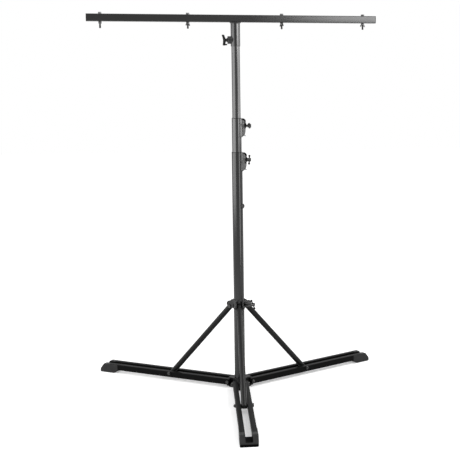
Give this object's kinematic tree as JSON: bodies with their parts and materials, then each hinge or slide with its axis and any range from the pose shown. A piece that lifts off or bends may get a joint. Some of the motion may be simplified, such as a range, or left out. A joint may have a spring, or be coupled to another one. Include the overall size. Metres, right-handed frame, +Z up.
{
  "type": "lighting t bar stand",
  "caption": "Folding tripod lighting stand with a telescopic mast and a square crossbar that carries lamps on bolts with wing nuts.",
  "frame": {"origin": "centre of the rubber pad under the mast, on the floor", "axes": "+Z up along the mast; the front leg points to -Y, the other two to 30 and 150 degrees from +X; the crossbar is along X, turned 6 degrees about Z as pictured"},
  "size_m": [1.2342, 1.0707, 1.583],
  "materials": {
    "black_powder_coat": "satin black powder coat on steel tube",
    "black_casting": "black painted casting",
    "black_plastic": "moulded black plastic",
    "black_rubber": "matt black rubber",
    "blackened_steel": "blackened steel fasteners",
    "nylon": "dark nylon"
  },
  "bodies": {
    "base": {"lower_tube": "black_powder_coat", "base_hub": "black_casting", "mast_base_pad": "black_rubber", "lower_clamp_body": "black_casting", "lower_clamp_liner": "black_plastic", "collar_stop": "black_rubber", "collar_stop_screw": "blackened_steel", "hub_bolt_front": "blackened_steel", "hub_bolt_right": "blackened_steel", "hub_bolt_left": "blackened_steel"},
    "mid_section": {"mid_tube": "black_powder_coat", "mid_tube_guide_plug": "nylon", "upper_clamp_body": "black_casting", "upper_clamp_liner": "black_plastic"},
    "top_section": {"top_tube": "black_powder_coat", "top_tube_guide_plug": "nylon"},
    "t_bar": {"crossbar": "black_powder_coat", "t_socket": "black_powder_coat", "crossbar_end_cap_right": "black_plastic", "crossbar_end_cap_left": "black_plastic", "lamp_bolt_1": "blackened_steel", "lamp_bolt_2": "blackened_steel", "lamp_bolt_3": "blackened_steel", "lamp_bolt_4": "blackened_steel"},
    "wing_screw": {"wing_screw": "black_plastic"},
    "lower_clamp_screw": {"lower_clamp_screw": "blackened_steel", "lower_clamp_tommy_bar": "black_plastic", "lower_clamp_pressure_pad": "nylon"},
    "upper_clamp_screw": {"upper_clamp_screw": "blackened_steel", "upper_clamp_tommy_bar": "black_plastic", "upper_clamp_pressure_pad": "nylon"},
    "collar": {"spreader_collar": "black_casting"},
    "collar_screw": {"collar_screw": "blackened_steel", "collar_tommy_bar": "black_plastic"},
    "leg_front": {"leg_tube_a_front": "black_powder_coat", "leg_tube_b_front": "black_powder_coat", "foot_front": "black_plastic", "strut_bolt_front": "blackened_steel", "strut_sleeve_front": "nylon"},
    "strut_front": {"strut_front": "black_powder_coat", "collar_bolt_front": "blackened_steel"},
    "leg_right": {"leg_tube_a_right": "black_powder_coat", "leg_tube_b_right": "black_powder_coat", "foot_right": "black_plastic", "strut_bolt_right": "blackened_steel", "strut_sleeve_right": "nylon"},
    "strut_right": {"strut_right": "black_powder_coat", "collar_bolt_right": "blackened_steel"},
    "leg_left": {"leg_tube_a_left": "black_powder_coat", "leg_tube_b_left": "black_powder_coat", "foot_left": "black_plastic", "strut_bolt_left": "blackened_steel", "strut_sleeve_left": "nylon"},
    "strut_left": {"strut_left": "black_powder_coat", "collar_bolt_left": "blackened_steel"},
    "wing_nut_1": {"wing_nut_1": "blackened_steel"},
    "wing_nut_2": {"wing_nut_2": "blackened_steel"},
    "wing_nut_3": {"wing_nut_3": "blackened_steel"},
    "wing_nut_4": {"wing_nut_4": "blackened_steel"}
  },
  "joints": [
    {"name": "mid_tube_slide", "type": "slide", "parent": "base", "child": "mid_section", "axis": [0, 0, 1], "range_m": [-0.0585, 0.708]},
    {"name": "top_tube_slide", "type": "slide", "parent": "mid_section", "child": "top_section", "axis": [0, 0, 1], "range_m": [-0.294, 0.51]},
    {"name": "t_bar_turn", "type": "hinge", "parent": "top_section", "child": "t_bar", "pos_m": [0, 0, 1.5], "axis": [0, 0, 1], "continuous": true},
    {"name": "wing_screw_turn", "type": "hinge", "parent": "t_bar", "child": "wing_screw", "pos_m": [-0.02984, -0.00314, 1.4737], "axis": [-0.9945, -0.1045, 0], "range_deg": [0, 360]},
    {"name": "wing_nut_1_turn", "type": "hinge", "parent": "t_bar", "child": "wing_nut_1", "pos_m": [-0.54201, -0.05697, 1.54], "axis": [0, 0, 1], "continuous": true},
    {"name": "wing_nut_2_turn", "type": "hinge", "parent": "t_bar", "child": "wing_nut_2", "pos_m": [-0.19393, -0.02038, 1.54], "axis": [0, 0, 1], "continuous": true},
    {"name": "wing_nut_3_turn", "type": "hinge", "parent": "t_bar", "child": "wing_nut_3", "pos_m": [0.19393, 0.02038, 1.54], "axis": [0, 0, 1], "continuous": true},
    {"name": "wing_nut_4_turn", "type": "hinge", "parent": "t_bar", "child": "wing_nut_4", "pos_m": [0.54201, 0.05697, 1.54], "axis": [0, 0, 1], "continuous": true},
    {"name": "lower_clamp_screw_turn", "type": "hinge", "parent": "base", "child": "lower_clamp_screw", "pos_m": [0.03978, -0.00418, 0.978], "axis": [0.9945, -0.1045, 0], "range_deg": [0, 360]},
    {"name": "upper_clamp_screw_turn", "type": "hinge", "parent": "mid_section", "child": "upper_clamp_screw", "pos_m": [0.03978, -0.00418, 1.12], "axis": [0.9945, -0.1045, 0], "range_deg": [0, 360]},
    {"name": "collar_slide", "type": "slide", "parent": "base", "child": "collar", "axis": [0, 0, 1], "range_m": [0, 0.39687]},
    {"name": "collar_screw_turn", "type": "hinge", "parent": "collar", "child": "collar_screw", "pos_m": [0.03464, -0.02, 0.3667], "axis": [0.866, -0.5, 0], "range_deg": [0, 360]},
    {"name": "leg_front_fold", "type": "hinge", "parent": "base", "child": "leg_front", "pos_m": [0, -0.044, 0.027], "axis": [-1, 0, 0], "range_deg": [0, 90]},
    {"name": "strut_front_fold", "type": "hinge", "parent": "leg_front", "child": "strut_front", "pos_m": [0, -0.332, 0.032], "axis": [-1, 0, 0], "range_deg": [-132.2, 0]},
    {"name": "leg_right_fold", "type": "hinge", "parent": "base", "child": "leg_right", "pos_m": [0.0381, 0.022, 0.027], "axis": [0.5, -0.866, 0], "range_deg": [0, 90]},
    {"name": "strut_right_fold", "type": "hinge", "parent": "leg_right", "child": "strut_right", "pos_m": [0.28752, 0.166, 0.032], "axis": [0.5, -0.866, 0], "range_deg": [-132.2, 0]},
    {"name": "leg_left_fold", "type": "hinge", "parent": "base", "child": "leg_left", "pos_m": [-0.0381, 0.022, 0.027], "axis": [0.5, 0.866, 0], "range_deg": [0, 90]},
    {"name": "strut_left_fold", "type": "hinge", "parent": "leg_left", "child": "strut_left", "pos_m": [-0.28752, 0.166, 0.032], "axis": [0.5, 0.866, 0], "range_deg": [-132.2, 0]}
  ],
  "couplings": [
    {"joint": "strut_front_fold", "follows": "leg_front_fold", "ratio": -1.4686},
    {"joint": "leg_right_fold", "follows": "leg_front_fold", "ratio": 1},
    {"joint": "strut_right_fold", "follows": "leg_front_fold", "ratio": -1.4686},
    {"joint": "leg_left_fold", "follows": "leg_front_fold", "ratio": 1},
    {"joint": "strut_left_fold", "follows": "leg_front_fold", "ratio": -1.4686},
    {"joint": "collar_slide", "follows": "leg_front_fold", "m_per_rad": 0.25259}
  ]
}
